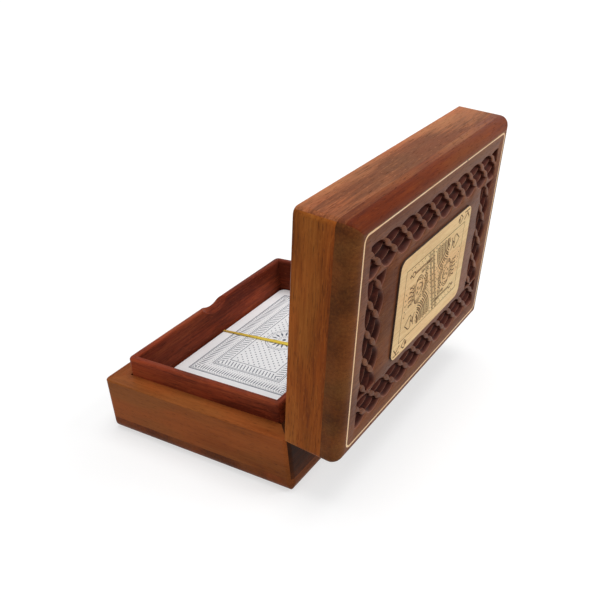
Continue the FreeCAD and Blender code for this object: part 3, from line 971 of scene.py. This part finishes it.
def makePlaque():
    low, high = (corner / mm for corner in closedBox("lid_plaque"))
    look = plaqueLook
    build = Builder()
    outline = roundedRectangle(high.x - look["bevelIn"], high.y - look["bevelIn"],
                               look["corner"] - look["bevelIn"])
    side = roundedRectangle(high.x, high.y, look["corner"])
    build.loft([[(x, y, high.z) for x, y in outline], [(x, y, high.z - look["bevelDown"]) for x, y in side],
                [(x, y, low.z) for x, y in side]], slot=2)
    build.cap([(x, y, low.z) for x, y in side], 2)
    half = kingHalf()
    marks = turnedCard(half, 1) + turnedCard(half, -1)
    marks.append(frameLine(look["frameLong"], look["frameAcross"], look["frameWidth"]))
    markedFace(build, outline, marks, high.z, look["sink"], (0, 1))
    return build.finish("engraved_plaque", plaqueMaterials(), True)


plaque = makePlaque()
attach(plaque, "lid")
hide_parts("lid_plaque")
print("plaque", len(plaque.data.polygons))


cardLook = {
    "corner": 3.2, "count": 43, "stackInset": 0.15, "edgeBevel": 0.06,
    "swayX": (-0.14, 0.0), "swayY": (-0.1, 0.1),
    "ink": linear(78, 86, 104), "white": linear(252, 252, 253), "edge": linear(232, 232, 230),
    "mottled": 0.93,
    # print on the back: bands and lines are measured in from the card's edge
    "lines": ((5.8, 0.42), (6.35, 0.2), (13.4, 0.34), (14.2, 0.26), (19.2, 0.34)),       # inset, width
    "petalBand": 6.4, "petalLength": 5.2, "petalPitch": 1.32, "petalHalf": 0.28,
    "slashBand": 14.6, "slashLength": 3.6, "slashPitch": 1.75, "slashLean": 0.9, "slashWidth": 0.42,
    "fieldInset": 20.4, "fieldPitch": 1.5, "fieldHalf": 0.42, "fieldHole": 9.4,
    "rings": ((9.0, 0.22), (7.9, 0.18), (3.0, 0.2)), "ringDots": 32, "ringDotsAt": 8.45,  # radius, width
    "leaves": 16, "leaf": (3.4, 5.4, 7.5), "leafHalf": 0.5, "smallDot": 0.2,
}


def rowAlong(halfX, halfY, pitch):
    # places along the sides of a rectangle: x, y and the inward direction there
    for side, (length, across) in enumerate(((halfX, halfY), (halfY, halfX), (halfX, halfY), (halfY, halfX))):
        count = max(1, round(2 * length / pitch))
        for k in range(count):
            t = -length + 2 * length * (k + 0.5) / count
            yield [(t, -across, 0, 1), (across, t, -1, 0), (-t, across, 0, -1), (-across, -t, 1, 0)][side]


def backPrint(halfX, halfY):
    look = cardLook
    small = look["smallDot"]
    marks = [frameLine(halfX - inset, halfY - inset, width) for inset, width in look["lines"]]

    def places(band, pitch, least, most, extra=0.0):
        # places along a band, each with the length that a mark may have there: less near the corners
        for x, y, nx, ny in rowAlong(halfX - band, halfY - band, pitch):
            room = (halfX - abs(x) if nx == 0 else halfY - abs(y)) - band + extra
            yield x, y, nx, ny, min(most, max(least, room))

    band, pitch, long = look["petalBand"], look["petalPitch"], look["petalLength"]
    for x, y, nx, ny, reach in places(band, pitch, 1.2, long, 0.4):
        marks.append(petal(x, y, nx, ny, 0.5, reach * 0.4, reach, look["petalHalf"]))
        between = (x + nx * 0.5 + ny * pitch / 2, y + ny * 0.5 + nx * pitch / 2)
        if max(abs(between[0]) - halfX, abs(between[1]) - halfY) < -band - 0.4:
            marks.append(dot(between, small, 5))
        if reach == long:
            marks.append(dot((x + nx * (long + 0.7), y + ny * (long + 0.7)), 0.22, 5))
    leanHalf = look["slashLean"] / 2
    for x, y, nx, ny, reach in places(look["slashBand"], look["slashPitch"], 1.0, look["slashLength"]):
        marks.append(stroke([(x + nx * 0.2 + ny * leanHalf, y + ny * 0.2 - nx * leanHalf),
                             (x + nx * reach - ny * leanHalf, y + ny * reach + nx * leanHalf)],
                            look["slashWidth"]))
    pitch, half = look["fieldPitch"], look["fieldHalf"]
    across, up = (int((side - look["fieldInset"]) / pitch) for side in (halfX, halfY))
    for i in range(-across, across + 1):
        for j in range(-up, up + 1):
            x, y = i * pitch, j * pitch
            if (i + j) % 2 == 0 and math.hypot(x, y) >= look["fieldHole"]:
                marks.append(diamond(x, y, half, half))
    # rosette
    for radius, width in look["rings"]:
        marks.append(hoop((0, 0), radius, width, 40))
    for k in range(look["ringDots"]):
        angle = 360 / look["ringDots"] * k
        marks.append(dot(arc((0, 0), look["ringDotsAt"], angle, angle, 1)[0], small, 5))
    for k in range(look["leaves"]):
        angle = math.radians(360 / look["leaves"] * k)
        nx, ny = math.cos(angle), math.sin(angle)
        marks.append(petal(0, 0, nx, ny, *look["leaf"], look["leafHalf"]))
        marks.append(dot((2.2 * nx, 2.2 * ny), small, 5))
    marks.append(dot((0, 0), 0.9, 10))
    return marks


def cardMaterials():
    look = cardLook
    materials = []
    for name, tone, rough in (("cardWhite", look["white"], 0.42), ("cardInk", look["ink"], 0.45),
                              ("cardEdge", look["edge"], 0.75)):
        made, g, shader = newMaterial(name, Specular_IOR_Level=0.3)
        place = g.add("ShaderNodeTexCoord").outputs["Object"]
        mottle = g.noise(g.stretch(place, (90, 90, 2500)), 1.0, 2.0, 0.6)
        g.feed(shader, "Base_Color", g.mix(g.span(mottle, 0.3, 0.75), tone, shaded(tone, look["mottled"])))
        g.feed(shader, "Roughness", g.calc("MULTIPLY_ADD", mottle, 0.16, rough - 0.08))
        g.bump(shader, 0.25, 0.00002, g.noise(place, 1400.0, 1.0, 0.5))
        materials.append(made)
    return materials


def makeDeck():
    look = cardLook
    materials = cardMaterials()
    low, high = (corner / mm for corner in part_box("card_stack"))
    centre = (low + high) / 2
    halfX, halfY = (high.x - low.x) / 2, (high.y - low.y) / 2
    hand = random.Random(5)
    stack = Builder()
    thick = (high.z - low.z) / look["count"]
    for k in range(look["count"]):
        # each card lies a little out of line
        place = (centre.x + hand.uniform(*look["swayX"]), centre.y + hand.uniform(*look["swayY"]))
        outline, inner = (roundedRectangle(halfX - inset, halfY - inset, look["corner"], 5, place)
                          for inset in (look["stackInset"], look["stackInset"] + look["edgeBevel"]))
        rings = [[(x, y, low.z + (k + up) * thick) for x, y in edge]
                 for edge, up in ((inner, 0), (outline, 0.25), (outline, 0.75), (inner, 1))]
        stack.loft(rings, slot=2, smooth=False)
        if k == 0:
            stack.cap(rings[0])
    stackPiece = stack.finish("card_edges", materials, False)

    low, high = (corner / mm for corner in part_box("top_card"))
    card = Builder()
    outline = roundedRectangle(halfX, halfY, look["corner"], 8)
    markedFace(card, outline, backPrint(halfX, halfY), high.z, 0, (0, 1))
    card.points = [(x + centre.x, y + centre.y, z) for x, y, z in card.points]
    upper, lower = ([(x + centre.x, y + centre.y, z) for x, y in outline] for z in (high.z, low.z))
    card.loft([upper, lower], slot=2, smooth=False)
    card.cap(lower)
    return stackPiece, card.finish("printed_card", materials, False)


stackPiece, cardPiece = makeDeck()
for piece, node in ((stackPiece, "card_stack"), (cardPiece, "top_card")):
    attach(piece, "deck")
    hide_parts(node)
print("cards", len(cardPiece.data.polygons))


bandLook = {
    "solidWidth": 1.6, "frontWidth": 1.25, "rearWidth": 2.4,
    "wideFrom": 0.6,                                    # share of the way back at which it is at full width
    "thick": 0.45, "lift": 0.06, "bevel": 0.1, "bend": 0.06, "spacing": 2.5, "twist": 0.07,
    "light": linear(244, 218, 84), "shade": linear(228, 190, 58),
    # painted shade: the front end of the strap is darker, over the y span given here
    "worn": linear(186, 146, 64), "wornFrom": -0.036, "wornTo": -0.012,   # y in metres
}


def rubberMaterial():
    look = bandLook
    made, g, shader = newMaterial("bandRubber", Specular_IOR_Level=0.3)
    place = g.add("ShaderNodeTexCoord").outputs["Object"]
    cloud = g.noise(place, 420.0, 3.0, 0.6)
    y = g.add("ShaderNodeSeparateXYZ", None, Vector=place).outputs[1]
    tone = g.mix(g.span(cloud, 0.3, 0.7), look["light"], look["shade"])
    # painted shade towards the front end of the strap
    worn = g.span(y, look["wornFrom"], look["wornTo"], 1.0, 0.0)
    g.feed(shader, "Base_Color", g.mix(worn, tone, look["worn"]))
    g.feed(shader, "Roughness", g.calc("MULTIPLY_ADD", cloud, 0.2, 0.5))
    g.bump(shader, 0.4, 0.00004, cloud)
    return made


def makeBand():
    # a flat strap round the deck, wider and a little twisted towards the rear
    look = bandLook
    low, high = (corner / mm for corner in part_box("rubber_band"))
    deckLow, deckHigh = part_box("card_stack")[0] / mm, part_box("top_card")[1] / mm
    centre, deckCentre = (low + high) / 2, (deckLow + deckHigh) / 2
    halfY, halfZ = ((deckHigh[axis] - deckLow[axis]) / 2 + look["lift"] for axis in (1, 2))
    corners = roundedRectangle(halfY, halfZ, look["bend"], 3)
    path = []
    for a, b in zip(corners, corners[1:] + corners[:1]):
        parts = max(1, round(math.hypot(b[0] - a[0], b[1] - a[1]) / look["spacing"]))
        path += [(a[0] + (b[0] - a[0]) * k / parts, a[1] + (b[1] - a[1]) * k / parts) for k in range(parts)]
    lean = (high.x - low.x - look["solidWidth"]) / (2 * halfY)
    bevel, thick, gain = look["bevel"], look["thick"], look["rearWidth"] - look["frontWidth"]
    build = Builder()
    rings = []
    for before, (y, z), after in zip(path[-1:] + path[:-1], path, path[1:] + path[:1]):
        size = math.hypot(after[0] - before[0], after[1] - before[1])
        outY, outZ = (after[1] - before[1]) / size, -(after[0] - before[0]) / size
        share = (y + halfY) / (2 * halfY)
        half = (look["frontWidth"] + gain * min(1, share / look["wideFrom"])) / 2
        tip = look["twist"] * math.sin(3.1 * share + 0.4)
        flat = half - bevel
        section = [(-half, bevel), (-flat, 0), (flat, 0), (half, bevel),
                   (half, thick - bevel), (flat, thick), (-flat, thick), (-half, thick - bevel)]
        ring = []
        for across, out in section:
            out += abs(tip) + tip * across / half
            ring.append((centre.x - y * lean + across, deckCentre.y + y + outY * out,
                         deckCentre.z + z + outZ * out))
        rings.append(ring)
    build.loft(rings + rings[:1])
    return build.finish("rubber_strap", [rubberMaterial()], False, 50)


band = makeBand()
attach(band, "deck")
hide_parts("rubber_band")
print("deck done")


floorLook = {"tone": 0.48, "lift": 0.575, "world": 0.34, "half": 2.5}


def stageMaterial():
    # pale floor that keeps the shadow and reads as white
    made, g, shader = newMaterial("paleFloor", Roughness=0.9)
    shader.inputs["Base Color"].default_value = (floorLook["tone"],) * 3 + (1,)
    shader.inputs["Specular IOR Level"].default_value = 0.0
    tree = made.node_tree
    glow = g.add("ShaderNodeEmission", None, Color=(1, 1, 1, 1),
                 Strength=g.calc("MULTIPLY", g.shownRays(), floorLook["lift"]))
    both = g.add("ShaderNodeAddShader")
    tree.links.new(shader.outputs[0], both.inputs[0])
    tree.links.new(glow.outputs[0], both.inputs[1])
    tree.links.new(both.outputs[0], tree.nodes["Material Output"].inputs["Surface"])
    return made


def makeFloor():
    mesh = bpy.data.meshes.new("floor")
    half = floorLook["half"]
    corners = [(-half, -half, 0), (half, -half, 0), (half, half, 0), (-half, half, 0)]
    mesh.from_pydata(corners, [], [(0, 1, 2, 3)])
    floor = bpy.data.objects.new("floor", mesh)
    bpy.context.scene.collection.objects.link(floor)
    mesh.materials.append(stageMaterial())


def makeWorld():
    world = bpy.data.worlds.new("studio")
    bpy.context.scene.world = world
    world.use_nodes = True
    g = Graph(world.node_tree)
    back = world.node_tree.nodes["Background"]
    back.inputs["Color"].default_value = (1, 1, 1, 1)
    light = floorLook["world"]
    g.feed(back, "Strength", g.calc("MULTIPLY_ADD", g.shownRays(), 1 - light, light))


def sunLight(name, toward, strength, spread):
    data = bpy.data.lights.new(name, "SUN")
    data.energy = strength
    data.angle = math.radians(spread)
    lamp = bpy.data.objects.new(name, data)
    bpy.context.scene.collection.objects.link(lamp)
    lamp.rotation_euler = Vector(toward).to_track_quat("Z", "Y").to_euler()


lightLook = {
    "key": {"toward": (-0.1, 0.12, 1.0), "strength": 1.5, "spread": 40},
    "side": {"toward": (-0.45, 1.0, 0.75), "strength": 1.15, "spread": 28},
    "fill": {"toward": (1.0, 0.2, 0.5), "strength": 0.4, "spread": 50},
}


cameraLook = {"place": (0.24495, 0.18950, 0.19990), "aim": (0.0, 0.01337, 0.04590), "roll": -0.0950,
              "lens": 46.75, "sensor": 36, "nearest": 0.01}


def makeCamera():
    look = cameraLook
    place, aim, roll = Vector(look["place"]), Vector(look["aim"]), look["roll"]
    forward = (aim - place).normalized()
    right = forward.cross(Vector((0, 0, 1))).normalized()
    up = right.cross(forward)
    turnedRight = right * math.cos(roll) + up * math.sin(roll)
    turnedUp = up * math.cos(roll) - right * math.sin(roll)
    turned = Matrix((turnedRight, turnedUp, -forward)).transposed().to_4x4()
    data = bpy.data.cameras.new("camera")
    data.lens = look["lens"]
    data.sensor_width = look["sensor"]
    data.clip_start = look["nearest"]
    camera = bpy.data.objects.new("camera", data)
    bpy.context.scene.collection.objects.link(camera)
    camera.matrix_world = Matrix.Translation(place) @ turned
    bpy.context.scene.camera = camera


makeFloor()
makeWorld()
for name, look in lightLook.items():
    sunLight(name, look["toward"], look["strength"], look["spread"])
makeCamera()
bpy.context.scene.view_settings.view_transform = "Standard"
print("stage done")
